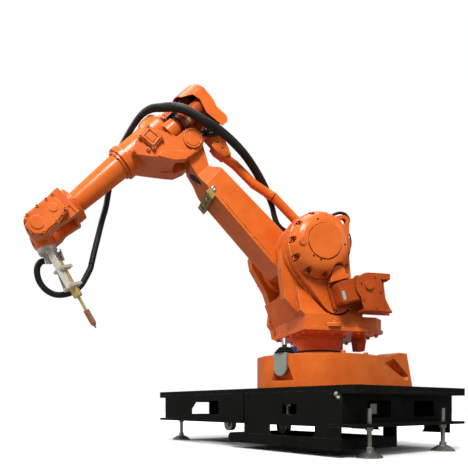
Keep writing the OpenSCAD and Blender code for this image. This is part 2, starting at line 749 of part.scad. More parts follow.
// Wrist drive motor along the forearm's direction: body, flange and end cap
motor_end = -150;
module drive_motor(y, z) {
    color(orange) at_upper() translate([0, y, z]) {
        x_bar(motor_r - 1, motor_end, -80);
        x_bar(motor_r - 4, -81, -70);
        x_bar(motor_r, -71, motor_face - 12);
        x_bar(motor_r - 2, motor_face - 13, motor_face);
    }
}
module drive_motor_near() { drive_motor(motor_y, motor_z); }
module drive_motor_mid() { drive_motor(0, motor_mid_z); }
module drive_motor_far() { drive_motor(-motor_y, motor_z); }
// Arched guard round the motors' back ends, open to the front, on two stays from the back wall
hood_half = 100;
hood_t = 4;
module hood_side(t) {
    polygon([[-85 + t * 8, 200 - t], [-150, 200 - t], [-180 + t, 160], [-190 + t, 128], [-190 + t, 66],
        [-180 + t, 34], [-188 + t, -22], [-176 + t, -42 + t / 2], [-142 + t * 8, -42 + t / 2],
        [-126 + t * 8, 40], [-141 + t * 8, 101], [-130 + t * 8, 135], [-85 + t * 8, 158]]);
}
// Section across the arm: straight sides under a flat arch
module hood_arch(t) {
    polygon(concat([[-hood_half + t, -60], [hood_half - t, -60]],
        [for (a = [0 : 10 : 180]) [(hood_half - t) * cos(a), 130 + (65 - t) * sin(a)]]));
}
module hood_form(t) {
    intersection() {
        slab(-hood_half - 1, hood_half + 1) hood_side(t);
        translate([-230, 0, 0]) rotate([90, 0, 90]) linear_extrude(260) hood_arch(t);
    }
}
module motor_hood() {
    color(orange) at_upper() {
        difference() {
            hood_form(0);
            hood_form(hood_t);
            // Slot that lets the parallel rod pass, and the open underside
            slab(-40, 40) polygon([[-100, -60], [-215, -60], [-215, 22], [-100, 22]]);
            slab(-hood_half + hood_t, hood_half - hood_t) polygon([[-184, -60], [-184, -20], [-80, -20],
                [-80, -60]]);
        }
        for (y = [-motor_y, motor_y]) translate([0, y, motor_z]) x_bar(12, -187, motor_end - turn_gap);
    }
}

// Forearm tube and wrist
module forearm_tube() {
    x0 = ring_x + turn_gap;
    x1 = reach_len - 190;
    color(orange) at_upper() translate([0, 0, elbow_rise]) {
        x_bar(tube_r1 + 8, x0, x0 + 12);
        translate([x0 + 12, 0, 0]) rotate([0, 90, 0])
            cylinder(r1 = tube_r1, r2 = tube_r2, h = x1 - x0 - 12);
    }
}
module wrist_housing() {
    x0 = -190;
    color(orange) at_wrist() difference() {
        union() {
            x_bar(72, x0, x0 + 26);
            slab(-wrist_half, wrist_half) union() {
                polygon([[x0 + 26, -62], [x0 + 26, 62], [-140, 62], [-60, wrist_r], [0, wrist_r], [0, -wrist_r],
                    [-60, -wrist_r], [-140, -62]]);
                circle(wrist_r);
            }
        }
        // Fork gap for the tilt drum
        slab(-drum_half - 5, drum_half + 5) union() {
            circle(drum_r + 30);
            polygon([[-115, -80], [80, -80], [80, 80], [-115, 80]]);
        }
        // Window in each side arm
        slab(-wrist_half - 1, wrist_half + 1) polygon([[-150, -80], [-60, -80], [-60, -20], [-150, -20]]);
    }
}
module wrist_cover_profile(g) {
    circle(wrist_r + g);
    polygon([[0, wrist_r + g], [-130 - g, 50 + g], [-130 - g, -36 - g], [-60, -wrist_r - g], [0, -wrist_r - g]]);
}
module wrist_cover_side() {
    rim = 10;
    slab(wrist_half, wrist_half + wrist_cover - rim) wrist_cover_profile(0);
    slab(wrist_half + wrist_cover - rim - 0.5, wrist_half + wrist_cover - 3) wrist_cover_profile(-7);
    // Low boss on the axis, and a second one behind it
    y_bar(27, wrist_half + wrist_cover - 4, wrist_half + wrist_cover);
    translate([-88, 0, 4]) y_bar(18, wrist_half + wrist_cover - 4, wrist_half + wrist_cover - 0.5);
    // Screw bosses round the rim
    for (a = [-80 : 32 : 90]) rotate([0, -a, 0]) translate([wrist_r - 7, 0, 0])
        y_bar(6.5, wrist_half + wrist_cover - rim - 1, wrist_half + wrist_cover - 4);
    for (b = [[-45, 46], [-90, 44], [-122, 42], [-60, -44], [-100, -36], [-122, -28]])
        translate([b[0], 0, b[1]]) y_bar(6, wrist_half + wrist_cover - rim - 1, wrist_half + wrist_cover - 4);
}
module wrist_covers() {
    color(orange) at_wrist() {
        wrist_cover_side();
        mirror([0, 1, 0]) wrist_cover_side();
    }
}
// Tilt drum between the fork arms, with trunnions into them
module tilt_drum() {
    color("orangered") at_wrist() {
        y_bar(drum_r, -drum_half, drum_half);
        y_bar(24, -drum_half - 4.7, drum_half + 4.7);
        rotate([0, bend, 0]) x_bar(40, 0, flange_x - 18);
    }
}

// Tool
module tool_flange() {
    color("gray") at_tool() difference() {
        x_bar(40, flange_x - 18 + turn_gap, flange_x);
        for (a = [0 : 60 : 300]) rotate([a, 0, 0]) translate([0, 0, 31]) x_bar(3, flange_x - 10, flange_x + 1);
    }
}
// Aluminium bracket: a channel head on the flange, and a bar that carries the torch's clamps
bracket_z = -20;
bracket_t2 = 6;
module tool_bracket() {
    head = 40;
    head_w = 66;
    color(steel) at_tool() {
        x_bar(36, flange_x, flange_x + 8);
        translate([flange_x + 8, -10, bracket_z - head_w / 2]) difference() {
            cube([head, 36, head_w]);
            translate([-1, bracket_t2, bracket_t2]) cube([head + 2, 36, head_w - 2 * bracket_t2]);
        }
        translate([flange_x + 8, -10, bracket_z - bar_w / 2]) cube([bar_len - 8, 20, bar_w]);
        // Ferrule that holds the hose's end
        translate([ferrule_x, 0, bracket_z + bar_w / 2])
            cylinder(r = hose_d / 2 + 3, h = ferrule_end - bracket_z - bar_w / 2);
    }
}
ferrule_x = 115;
ferrule_end = 24.8;
// Torch frame: x along the torch, from the middle of the front clamp
torch_y = 26;
torch_z = -44;
module at_torch() { at_tool() translate([clamp_x, torch_y, torch_z]) rotate([0, torch_tilt, 0]) children(); }
module torch_clamps() {
    plate = 60;
    color("gray") at_torch() for (x = [-86, -6]) translate([x, 0, 0]) difference() {
        rotate([45, 0, 0]) translate([0, -plate / 2, -plate / 2]) cube([12, plate, plate]);
        x_bar(torch_d / 2 + turn_gap, -1, 13);
        rotate([0, -torch_tilt, 0]) translate([-30, -50 - torch_y, -60]) cube([80, 60, 160]);
    }
}
module torch_body() {
    color("goldenrod") at_torch() {
        x_bar(torch_d / 2, -110, 6);
        x_bar(torch_d / 2 + 4, 6, 48);
        x_bar(neck_d / 2, 48, torch_len - 12 - nozzle_len);
    }
}
module gas_nozzle() {
    x1 = torch_len - 12;
    color("sienna") at_torch() {
        x_bar(nozzle_d / 2, x1 - nozzle_len, x1 - 12);
        translate([x1 - 12, 0, 0]) rotate([0, 90, 0]) cylinder(r1 = nozzle_d / 2, r2 = 7, h = 12);
        x_bar(2.5, x1 - 1, torch_len);
    }
}
// Hose package: each stretch is a tube swept along points chosen by hand
function unit(v) = v / max(norm(v), 0.001);
function side_of(t) = unit(cross(t, abs(t[2]) > 0.9 ? [1, 0, 0] : [0, 0, 1]));
function tangent(p, i) = unit(p[min(i + 1, len(p) - 1)] - p[max(i - 1, 0)]);
module hose(points, d) {
    sides = 10;
    rings = [for (i = [0 : len(points) - 1])
        let (t = tangent(points, i), u = side_of(t), v = cross(t, u))
        [for (k = [0 : sides - 1])
            points[i] + d / 2 * (cos(360 * k / sides) * u + sin(360 * k / sides) * v)]];
    n = len(points);
    color("#202020") polyhedron(
        points = [for (r = rings) each r],
        faces = concat(
            [[for (k = [0 : sides - 1]) k]],
            [[for (k = [sides - 1 : -1 : 0]) (n - 1) * sides + k]],
            [for (i = [0 : n - 2], k = [0 : sides - 1])
                let (a = i * sides + k, b = i * sides + (k + 1) % sides)
                each [[a, b + sides, b], [a, a + sides, b + sides]]]));
}
// Points in the turret's frame at rest
hose_turret_route = [[-78, -50, 316], [-78, -50, 380], [-78, -50, 450], [-77, -52, 520], [-72, -54, 590],
    [-60, -56, 650], [-38, -58, 700], [0, -60, 738], [50, -60, 758], [105, -60, 764], [150, -56, 772],
    [184, -51, 795], [203, -48, 835], [213, -47, 875], [236, -41, 925]];
hose_elbow_route = [[236.2, -40.9, 925.4], [242, -39.4, 938], [274, -18, 977], [332, 26, 1026], [406, 74, 1073],
    [499, 112, 1119], [585, 130, 1150], [664, 130, 1184], [700, 118, 1194]];
hose_forearm_route = [[700.4, 117.9, 1194.1], [713.2, 113.6, 1197.7], [752, 88, 1204], [806, 60, 1204],
    [852, 16, 1182], [908, -42, 1108], [944, -74, 1040], [964, -90, 970], [978, -97, 890]];
hose_wrist_route = [[978.1, -97, 889.6], [980.5, -98.2, 876], [990, -98, 820], [1006, -96, 760],
    [1022, -90, 690], [1038, -84, 620], [1053, -76, 550]];
hose_tool_route = [[1053.1, -76, 549.6], [1056, -74.5, 536], [1072, -70, 500], [1096, -66, 456],
    [1128, -58, 424], [1166, -46, 406], [1204, -34, 402], [1238, -22, 417], [1262, -12, 446],
    [1272, -5, 480], [1270, -1, 508], [1258, 0, 528], [1241.5, 0, 535]];
module hose_turret() { at_turret() hose(hose_turret_route, hose_d); }
module hose_elbow() { at_turret() hose(hose_elbow_route, sleeve_d); }
module hose_forearm() { at_turret() hose(hose_forearm_route, hose_d); }
module hose_wrist() { at_turret() hose(hose_wrist_route, hose_d); }
module hose_tool() { at_turret() hose(hose_tool_route, hose_d); }

deck_plate();
end_beams();
side_plates();
cross_members();
low_tray();
rollers();
levelling_feet();
robot_foot();
axis1_seal();
boot_bracket();
cable_boot();
turret_frame();
axis2_case();
axis3_case();
axis2_cover();
axis3_cover();
axis2_motor();
axis3_motor();
axis1_motor();
stop_lug();
lower_arm();
arm_buffer();
parallel_crank();
parallel_rod();
upper_housing();
elbow_pin();
drive_cover();
drive_motor_near();
drive_motor_mid();
drive_motor_far();
motor_hood();
forearm_tube();
wrist_housing();
wrist_covers();
tilt_drum();
tool_flange();
tool_bracket();
torch_clamps();
torch_body();
gas_nozzle();
hose_turret();
hose_elbow();
hose_forearm();
hose_wrist();
hose_tool();
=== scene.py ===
"""Looks for the six-axis robot arm on its skid: camera, light, hoses, finishes, small fittings."""

import json
import math

import bmesh
import bpy
from mathutils import Matrix, Vector


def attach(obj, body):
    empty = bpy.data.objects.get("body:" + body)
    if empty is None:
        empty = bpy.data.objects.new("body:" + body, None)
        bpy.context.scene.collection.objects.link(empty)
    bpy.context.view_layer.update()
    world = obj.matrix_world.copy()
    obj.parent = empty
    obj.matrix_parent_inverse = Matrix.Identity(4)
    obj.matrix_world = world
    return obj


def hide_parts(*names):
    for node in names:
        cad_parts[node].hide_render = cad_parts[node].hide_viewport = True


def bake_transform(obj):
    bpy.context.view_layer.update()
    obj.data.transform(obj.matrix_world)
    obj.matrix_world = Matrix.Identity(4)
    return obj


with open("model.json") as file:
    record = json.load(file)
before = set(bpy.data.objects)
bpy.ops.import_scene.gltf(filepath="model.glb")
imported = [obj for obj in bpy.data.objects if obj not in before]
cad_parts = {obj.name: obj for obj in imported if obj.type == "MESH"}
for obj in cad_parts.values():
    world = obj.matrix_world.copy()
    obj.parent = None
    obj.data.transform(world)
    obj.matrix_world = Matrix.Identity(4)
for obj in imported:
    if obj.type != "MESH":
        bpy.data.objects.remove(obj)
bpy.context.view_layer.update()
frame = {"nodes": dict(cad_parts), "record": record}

# Sizes that the CAD source also uses: millimetres and degrees, as for all shapes and materials
DECK_TOP = 272
AXIS_2_X = 100
AXIS_2_Z = 615
LOWER_LEN = 705
ELBOW_RISE = 135
FOREARM_LEN = 755
CRANK_LEN = 115
YAW = -23
LEAN = 48.1
DIP = 44.6
BEND = 65.7
TORCH_TILT = 8.7


def mm(x, y, z):
    """A shift by millimetres."""
    return Matrix.Translation((x / 1000, y / 1000, z / 1000))


def turn(degrees, axis):
    return Matrix.Rotation(math.radians(degrees), 4, axis)


def metres(points):
    """Vectors in the scene's metres from points in millimetres."""
    return [Vector(p) / 1000 for p in points]


def on_circle(radius, degrees, centre=(0, 0)):
    angle = math.radians(degrees)
    return centre[0] + radius * math.cos(angle), centre[1] + radius * math.sin(angle)


def add_object(name, data):
    obj = bpy.data.objects.new(name, data)
    bpy.context.scene.collection.objects.link(obj)
    return obj


def aim(obj, direction):
    """Point a camera or a lamp along a direction."""
    obj.rotation_euler = Vector(direction).to_track_quat("-Z", "Y").to_euler()


# Frames of the moving bodies at rest; the rod's frame stands on the crank pin
BASE = Matrix.Identity(4)
TURRET = mm(0, 0, DECK_TOP) @ turn(YAW, "Z")
LOWER = TURRET @ mm(AXIS_2_X, 0, AXIS_2_Z) @ turn(LEAN, "Y")
UPPER = LOWER @ mm(0, 0, LOWER_LEN) @ turn(DIP - LEAN, "Y")
WRIST = UPPER @ mm(FOREARM_LEN, 0, ELBOW_RISE)
TOOL = WRIST @ turn(BEND, "Y")
TORCH = TOOL @ mm(255, 26, -44) @ turn(TORCH_TILT, "Y")
CRANK_TURN = math.radians(LEAN - DIP)
ROD = LOWER @ mm(-CRANK_LEN * math.cos(CRANK_TURN), 0, -CRANK_LEN * math.sin(CRANK_TURN))

# Ways a fitting can face: its local Z points to the near or far side, ahead, behind or down
NEAR = turn(-90, "X")
FAR = turn(90, "X")
AHEAD = turn(90, "Y")
BEHIND = turn(-90, "Y")
DOWN = turn(180, "X")
SIDES = ((1, "near", NEAR), (-1, "far", FAR))


# Camera at the photograph's eye point
camera_data = bpy.data.cameras.new("camera")
camera_data.sensor_fit = "HORIZONTAL"
camera_data.sensor_width = 36.0
camera_data.lens = 40.0
camera_data.shift_y = 0.367
camera = add_object("camera", camera_data)
camera.location = (1.846, 1.743, 0.195)
aim(camera, (-0.609, -0.793, 0))
bpy.context.scene.camera = camera


# Materials: scales of the noise patterns, and samples of the bevel and occlusion rays
CLOUD_SCALE = 9.0
ROUGHNESS_SCALE = 27.0
CORNER_SHADE_SCALE = 30.0
EDGE_WEAR_AND_HIGHLIGHT_SCALE = 45.0
SPOT_SCALE = 81.0
RAY_SAMPLES = 6
COAT_ROUGHNESS = 0.17
BUMP_DISTANCE = 2


class Shading:
    """The node tree of a material or of the world."""

    def __init__(self, owner):
        owner.use_nodes = True
        self.nodes = owner.node_tree.nodes
        self.links = owner.node_tree.links

    def put(self, value, socket):
        """Link an output to a socket, or set a number, a colour or a vector on it."""
        if isinstance(value, bpy.types.NodeSocket):
            self.links.new(value, socket)
        elif isinstance(value, tuple):
            socket.default_value = (*value, 1.0)
        else:
            socket.default_value = value

    def node(self, kind, inputs=(), **settings):
        """The outputs of a new node, after its settings and its inputs have been made."""
        node = self.nodes.new("ShaderNode" + kind)
        for name, value in settings.items():
            setattr(node, name, value)
        for name, value in dict(inputs).items():
            self.put(value, node.inputs[name])
        return node.outputs

    def noise(self, coords, scale, detail=5.0, rough=0.55):
        return self.node("TexNoise", {"Vector": coords, "Scale": scale, "Detail": detail,
                                      "Roughness": rough})["Fac"]

    def ramp(self, value, low, high, start=0.0, end=1.0):
        """The value with its range from low to high stretched to start and end."""
        return self.node("MapRange", {"Value": value, "From Min": low, "From Max": high,
                                      "To Min": start, "To Max": end})["Result"]

    def mix(self, factor, a, b):
        return self.node("Mix", {"Factor": factor, "A": a, "B": b}, data_type="RGBA")["Result"]

    def times(self, a, b):
        return self.node("Math", {0: a, 1: b}, operation="MULTIPLY")["Value"]

    def rounded_normal(self, radius):
        return self.node("Bevel", {"Radius": radius / 1000}, samples=RAY_SAMPLES)["Normal"]

    def edge_mask(self, rounded):
        """How far the rounded normal leans from the flat one: 0 on a face, 1 at an edge."""
        flat = self.node("NewGeometry")["Normal"]
        dot = self.node("VectorMath", {0: rounded, 1: flat}, operation="DOT_PRODUCT")["Value"]
        return self.ramp(dot, low=0.995, high=0.90)

    def corner_shade_mask(self, distance):
        """1 in a corner where shade falls, 0 on an open face: the mask of painted shade."""
        openness = self.node("AmbientOcclusion", {"Distance": distance / 1000},
                             samples=RAY_SAMPLES)["AO"]
        return self.ramp(openness, low=0.75, high=0.25)


def finish(name, base, dark, rough, rough_var, radius, edge=None, metallic=0.0, spot=None,
           spot_share=0.62, grain=220.0, bump=0.02, coat=0.0, corner_shade=None, corner_shade_reach=20,
           shine=0.5):
    """A painted or metal surface.

    Clouds go from base to dark, small spots lie on them, painted shade darkens the corners, and an
    edge colour lightens the edges, partly as wear and partly as painted highlight. radius rounds
    the shading of the edges.
    """
    material = bpy.data.materials.new(name)
    tree = Shading(material)
    shader = tree.nodes["Principled BSDF"].inputs
    coords = tree.node("TexCoord")["Object"]
    clouds = tree.ramp(tree.noise(coords, CLOUD_SCALE), low=0.35, high=0.7)
    colour = tree.mix(clouds, base, dark)
    if spot:
        spots = tree.noise(coords, SPOT_SCALE, detail=6.0, rough=0.65)
        spots = tree.ramp(spots, low=spot_share, high=spot_share + 0.1)
        colour = tree.mix(spots, colour, spot)
    # Painted shade: corners that the light reaches less are darkened, in patches
    if corner_shade:
        patches = tree.ramp(tree.noise(coords, CORNER_SHADE_SCALE), low=0.3, high=0.65, start=0.25, end=0.8)
        corner_shade_share = tree.times(tree.corner_shade_mask(corner_shade_reach), patches)
        colour = tree.mix(corner_shade_share, colour, corner_shade)
    bumps = {"Strength": bump, "Distance": BUMP_DISTANCE / 1000,
             "Height": tree.noise(coords, grain, detail=3.0)}
    if radius:
        bumps["Normal"] = tree.rounded_normal(radius)
    # Edges lighter in patches, partly as wear and partly as painted highlight
    if edge:
        patches = tree.ramp(tree.noise(coords, EDGE_WEAR_AND_HIGHLIGHT_SCALE), low=0.45, high=0.6)
        edge_wear_and_highlight = tree.times(tree.edge_mask(bumps["Normal"]), patches)
        colour = tree.mix(edge_wear_and_highlight, colour, edge)
    roughness = tree.ramp(tree.noise(coords, ROUGHNESS_SCALE, detail=4.0), low=0.3, high=0.7,
                          start=rough - rough_var, end=rough + rough_var)
    tree.put(colour, shader["Base Color"])
    tree.put(roughness, shader["Roughness"])
    tree.put(metallic, shader["Metallic"])
    tree.put(shine, shader["Specular IOR Level"])
    if coat:
        tree.put(coat, shader["Coat Weight"])
        tree.put(COAT_ROUGHNESS, shader["Coat Roughness"])
    tree.put(tree.node("Bump", bumps)["Normal"], shader["Normal"])
    return material


# Painted shade for the corners of the orange and motor paints
PAINTED_CORNER_SHADE = (0.16, 0.034, 0.010)
# The orange's edge colour is a painted highlight along its edges
ORANGE = finish(
    "orange_paint", (0.80, 0.163, 0.020), (0.66, 0.112, 0.011), rough=0.30, rough_var=0.07,
    radius=3.5, edge=(0.92, 0.40, 0.17), spot=(0.50, 0.075, 0.010), spot_share=0.70,
    grain=160.0, bump=0.05, coat=0.22, corner_shade=PAINTED_CORNER_SHADE, corner_shade_reach=35, shine=0.22)
# Motor paint: the motors' own redder tone, darkened further as painted shade of their shaded sides
MOTOR_TONE_AND_SHADE = finish(
    "motor_paint_and_shade", (0.50, 0.080, 0.008), (0.38, 0.056, 0.008), rough=0.42, rough_var=0.08,
    radius=2.5, edge=(0.70, 0.22, 0.07), spot=(0.27, 0.040, 0.010), spot_share=0.66,
    grain=120.0, bump=0.07, coat=0.05, corner_shade=PAINTED_CORNER_SHADE, corner_shade_reach=40, shine=0.12)
BLACK = finish(
    "black_steel", (0.0022, 0.0025, 0.0015), (0.0050, 0.0048, 0.0033), rough=0.52,
    rough_var=0.12, radius=2, edge=(0.07, 0.060, 0.045), spot=(0.034, 0.022, 0.013),
    spot_share=0.69, grain=90.0, bump=0.10, shine=0.09)
STEEL = finish(
    "bare_steel", (0.40, 0.385, 0.35), (0.27, 0.25, 0.22), rough=0.38, rough_var=0.1,
    radius=1.2, edge=(0.6, 0.6, 0.58), metallic=0.85, spot=(0.20, 0.11, 0.06),
    corner_shade=(0.10, 0.06, 0.035))
BRIGHT = finish(
    "bright_steel", (0.68, 0.68, 0.67), (0.55, 0.55, 0.54), rough=0.26, rough_var=0.08,
    radius=0.8, metallic=1.0)
GREY = finish(
    "grey_plate", (0.34, 0.345, 0.31), (0.27, 0.275, 0.245), rough=0.48, rough_var=0.08,
    radius=1.2, metallic=0.4, spot=(0.20, 0.19, 0.16), spot_share=0.66)
ALUMINIUM = finish(
    "aluminium", (0.66, 0.62, 0.55), (0.52, 0.48, 0.42), rough=0.38, rough_var=0.1,
    radius=1.2, edge=(0.85, 0.84, 0.79), metallic=0.35, spot=(0.30, 0.25, 0.19),
    spot_share=0.66)
BRONZE = finish(
    "bronze", (0.44, 0.31, 0.09), (0.30, 0.20, 0.06), rough=0.42, rough_var=0.1,
    radius=1.5, metallic=0.7, spot=(0.14, 0.09, 0.03), spot_share=0.64)
BRASS = finish(
    "torch_brass", (0.78, 0.55, 0.20), (0.60, 0.40, 0.14), rough=0.27, rough_var=0.08,
    radius=0.8, metallic=0.6, spot=(0.22, 0.13, 0.05), spot_share=0.68)
COPPER = finish(
    "nozzle_copper", (0.52, 0.225, 0.115), (0.34, 0.145, 0.075), rough=0.38, rough_var=0.1,
    radius=1, metallic=0.85, spot=(0.12, 0.06, 0.04), spot_share=0.60)
RUBBER = finish(
    "black_rubber", (0.0075, 0.0082, 0.0066), (0.014, 0.0145, 0.0115), rough=0.48,
    rough_var=0.1, radius=1, spot=(0.04, 0.038, 0.028), spot_share=0.71, shine=0.25)
PLASTIC = finish(
    "black_plastic", (0.005, 0.005, 0.005), (0.009, 0.009, 0.0085), rough=0.35,
    rough_var=0.08, radius=0.8, shine=0.25)
BLUE = finish(
    "blue_plastic", (0.018, 0.055, 0.21), (0.013, 0.04, 0.16), rough=0.42, rough_var=0.08,
    radius=1)
LABEL = finish(
    "blank_label", (0.50, 0.50, 0.46), (0.40, 0.39, 0.35), rough=0.45, rough_var=0.08,
    radius=0, spot=(0.30, 0.26, 0.2), spot_share=0.68)

SLOT_FINISH = {
    "orange_paint": ORANGE, "black_steel": BLACK, "bare_steel": STEEL, "aluminium": ALUMINIUM,
    "motor_orange": MOTOR_TONE_AND_SHADE, "bronze": BRONZE, "torch_brass": BRASS, "nozzle_copper": COPPER,
    "black_rubber": RUBBER,
}
NODE_FINISH = {"boot_bracket": GREY, "tool_flange": ALUMINIUM, "stop_lug": MOTOR_TONE_AND_SHADE}
for part in frame["record"]["subparts"]:
    mesh = frame["nodes"][part["node"]].data
    mesh.materials.clear()
    mesh.materials.append(NODE_FINISH.get(part["node"], SLOT_FINISH[part["material_slot"]]))


# Mesh pieces
LABEL_THICK = 0.6
WRAP_STEPS = 10


class Piece:
    """One piece made of several forms, which rides on one body and has one finish."""

    def __init__(self, name, body, slot, material, place=BASE):
        self.bm = bmesh.new()
        self.name, self.body, self.slot = name, body, slot
        self.material, self.place = material, place

    def vert(self, where, x, y, z):
        return self.bm.verts.new(self.place @ where @ Vector((x / 1000, y / 1000, z / 1000)))

    def join(self, rings, smooth):
        """Faces between neighbouring rings; a ring can be a single point."""
        for low, high in zip(rings, rings[1:]):
            for i in range(max(len(low), len(high))):
                corners = [low[i % len(low)], low[(i + 1) % len(low)],
                           high[(i + 1) % len(high)], high[i % len(high)]]
                self.bm.faces.new(list(dict.fromkeys(corners))).smooth = smooth

    def close(self, rings):
        """Faces over the first and the last ring."""
        self.bm.faces.new(list(reversed(rings[0])))
        self.bm.faces.new(rings[-1])

    def revolve(self, profile, where, segments):
        """A profile of (radius, height) turned about the local Z of where."""
        rings = []
        for radius, height in profile:
            count = segments if radius else 1
            rings.append([self.vert(where, *on_circle(radius, 360 * i / count), height)
                          for i in range(count)])
        self.join(rings, smooth=True)

    def prism(self, outline, depth, where, chamfer=0.0):
        """An outline in local X and Y, raised along local Z, with a chamfered top edge."""
        count = len(outline)
        centre = Vector((sum(x for x, y in outline) / count, sum(y for x, y in outline) / count))
        levels = [(0, 0), (depth - chamfer, 0)]
        if chamfer:
            levels.append((depth, chamfer))
        rings = []
        for height, inset in levels:
            ring = []
            for x, y in outline:
                away = Vector((x, y)) - centre
                point = centre + away * (1 - inset / away.length)
                ring.append(self.vert(where, point.x, point.y, height))
            rings.append(ring)
        self.join(rings, smooth=False)
        self.close(rings)

    def tube(self, line, radii, segments):
        """A round tube along a line that is placed in the scene, with a radius at each point."""
        side = None
        rings = []
        for i, (point, radius) in enumerate(zip(line, radii)):
            along = (line[min(i + 1, len(line) - 1)] - line[max(i - 1, 0)]).normalized()
            if side is None:
                side = along.orthogonal().normalized()
            side = (side - along * side.dot(along)).normalized()
            other = along.cross(side)
            spokes = (on_circle(radius / 1000, 360 * k / segments) for k in range(segments))
            rings.append([self.bm.verts.new(point + u * side + v * other) for u, v in spokes])
        self.join(rings, smooth=True)
        self.close(rings)

    def wrap(self, centre, radius, start, stop, x0, x1):
        """A label bent round a bar along local X, from one angle to another."""
        outer = radius + LABEL_THICK
        section = ((x0, radius), (x1, radius), (x1, outer), (x0, outer))
        rings = []
        for i in range(WRAP_STEPS + 1):
            angle = start + (stop - start) * i / WRAP_STEPS
            rings.append([self.vert(BASE, x, *on_circle(r, angle, centre)) for x, r in section])
        self.join(rings, smooth=False)
        self.close(rings)

    def done(self, replaces=(), blend=None):
        """Make the object, and let it ride on its body, or with blend leave it fixed in the scene.
        """
        mesh = bpy.data.meshes.new(self.name)
        bmesh.ops.recalc_face_normals(self.bm, faces=self.bm.faces)
        self.bm.to_mesh(mesh)
        self.bm.free()
        mesh.materials.append(self.material)
        obj = add_object(self.name, mesh)
        if blend:
            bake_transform(obj)
        else:
            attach(obj, self.body)
        if replaces:
            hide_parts(*replaces)
        return obj


def round_outline(width, depth, radius, steps=5):
    """A rectangle with round corners."""
    x, y = width / 2 - radius, depth / 2 - radius
    return [on_circle(radius, start + 90 * i / steps, centre)
            for start, centre in ((0, (x, y)), (90, (-x, y)), (180, (-x, -y)), (270, (x, -y)))
            for i in range(steps + 1)]


def polygon(sides, radius):
    return [on_circle(radius, 360 * k / sides) for k in range(sides)]


def smooth_path(points, step):
    """A Catmull-Rom line in metres through points in millimetres, resampled at about the step."""
    knots = metres(points)
    last = len(knots) - 1
    line = []
    for i in range(last):
        p0, p1, p2, p3 = (knots[max(0, min(last, k))] for k in (i - 1, i, i + 1, i + 2))
        count = max(1, round((p2 - p1).length / (step / 1000)))
        for k in range(count):
            t = k / count
            line.append(0.5 * ((2 * p1) + (p2 - p0) * t + (2 * p0 - 5 * p1 + 4 * p2 - p3) * t * t
                               + (3 * p1 - p0 - 3 * p2 + p3) * t ** 3))
    line.append(knots[last])
    return line


def lay_cord(name, body, line, diameter, stiffness, segments, **fixing):
    """A rubber cord along a line that is placed in the scene."""
    piece = Piece(name, body, "black_rubber", RUBBER)
    piece.tube(line, [diameter / 2] * len(line), segments)
    obj = piece.done(**fixing)


# Hose package: body of each stretch, the next body, diameter, and route in the turret's frame
HOSE_STEP = 8
HOSE_D = 26
SLEEVE_D = 38
HOSES = {
    "hose_turret": ("turret", "lower_arm", HOSE_D, [
        (-78, -50, 316), (-78, -50, 380), (-78, -50, 450), (-77, -52, 520), (-72, -54, 590),
        (-60, -56, 650), (-38, -58, 700), (0, -60, 738), (50, -60, 758), (105, -60, 764),
        (150, -56, 772), (184, -51, 795), (203, -48, 835), (213, -47, 875), (236, -41, 925)]),
    "hose_elbow": ("lower_arm", "upper_arm", SLEEVE_D, [
        (236.2, -40.9, 925.4), (242, -39.4, 938), (274, -18, 977), (332, 26, 1026),
        (406, 74, 1073), (499, 112, 1119), (585, 130, 1150), (664, 130, 1184),
        (700, 118, 1194)]),
    "hose_forearm": ("upper_arm", "forearm", HOSE_D, [
        (700.4, 117.9, 1194.1), (713.2, 113.6, 1197.7), (752, 88, 1204), (806, 60, 1204),
        (852, 16, 1182), (908, -42, 1108), (944, -74, 1040), (964, -90, 970),
        (978, -97, 890)]),
    "hose_wrist": ("forearm", "wrist", HOSE_D, [
        (978.1, -97, 889.6), (980.5, -98.2, 876), (990, -98, 820), (1006, -96, 760),
        (1022, -90, 690), (1038, -84, 620), (1053, -76, 550)]),
    "hose_tool": ("wrist", "tool", HOSE_D, [
        (1053.1, -76, 549.6), (1056, -74.5, 536), (1072, -70, 500), (1096, -66, 456),
        (1128, -58, 424), (1166, -46, 406), (1204, -34, 402), (1238, -22, 417),
        (1262, -12, 446), (1272, -5, 480), (1270, -1, 508), (1258, 0, 528),
        (1241.5, 0, 535)]),
}
hose_lines = {}
for hose_name, (body, next_body, diameter, route) in HOSES.items():
    line = [TURRET @ p for p in smooth_path(route, HOSE_STEP)]
    lay_cord(hose_name + "_tube", body, line, diameter, "stiff", 18, replaces=(hose_name,),
             blend=(body, next_body, line[0], line[-1]))
    hose_lines[hose_name] = line

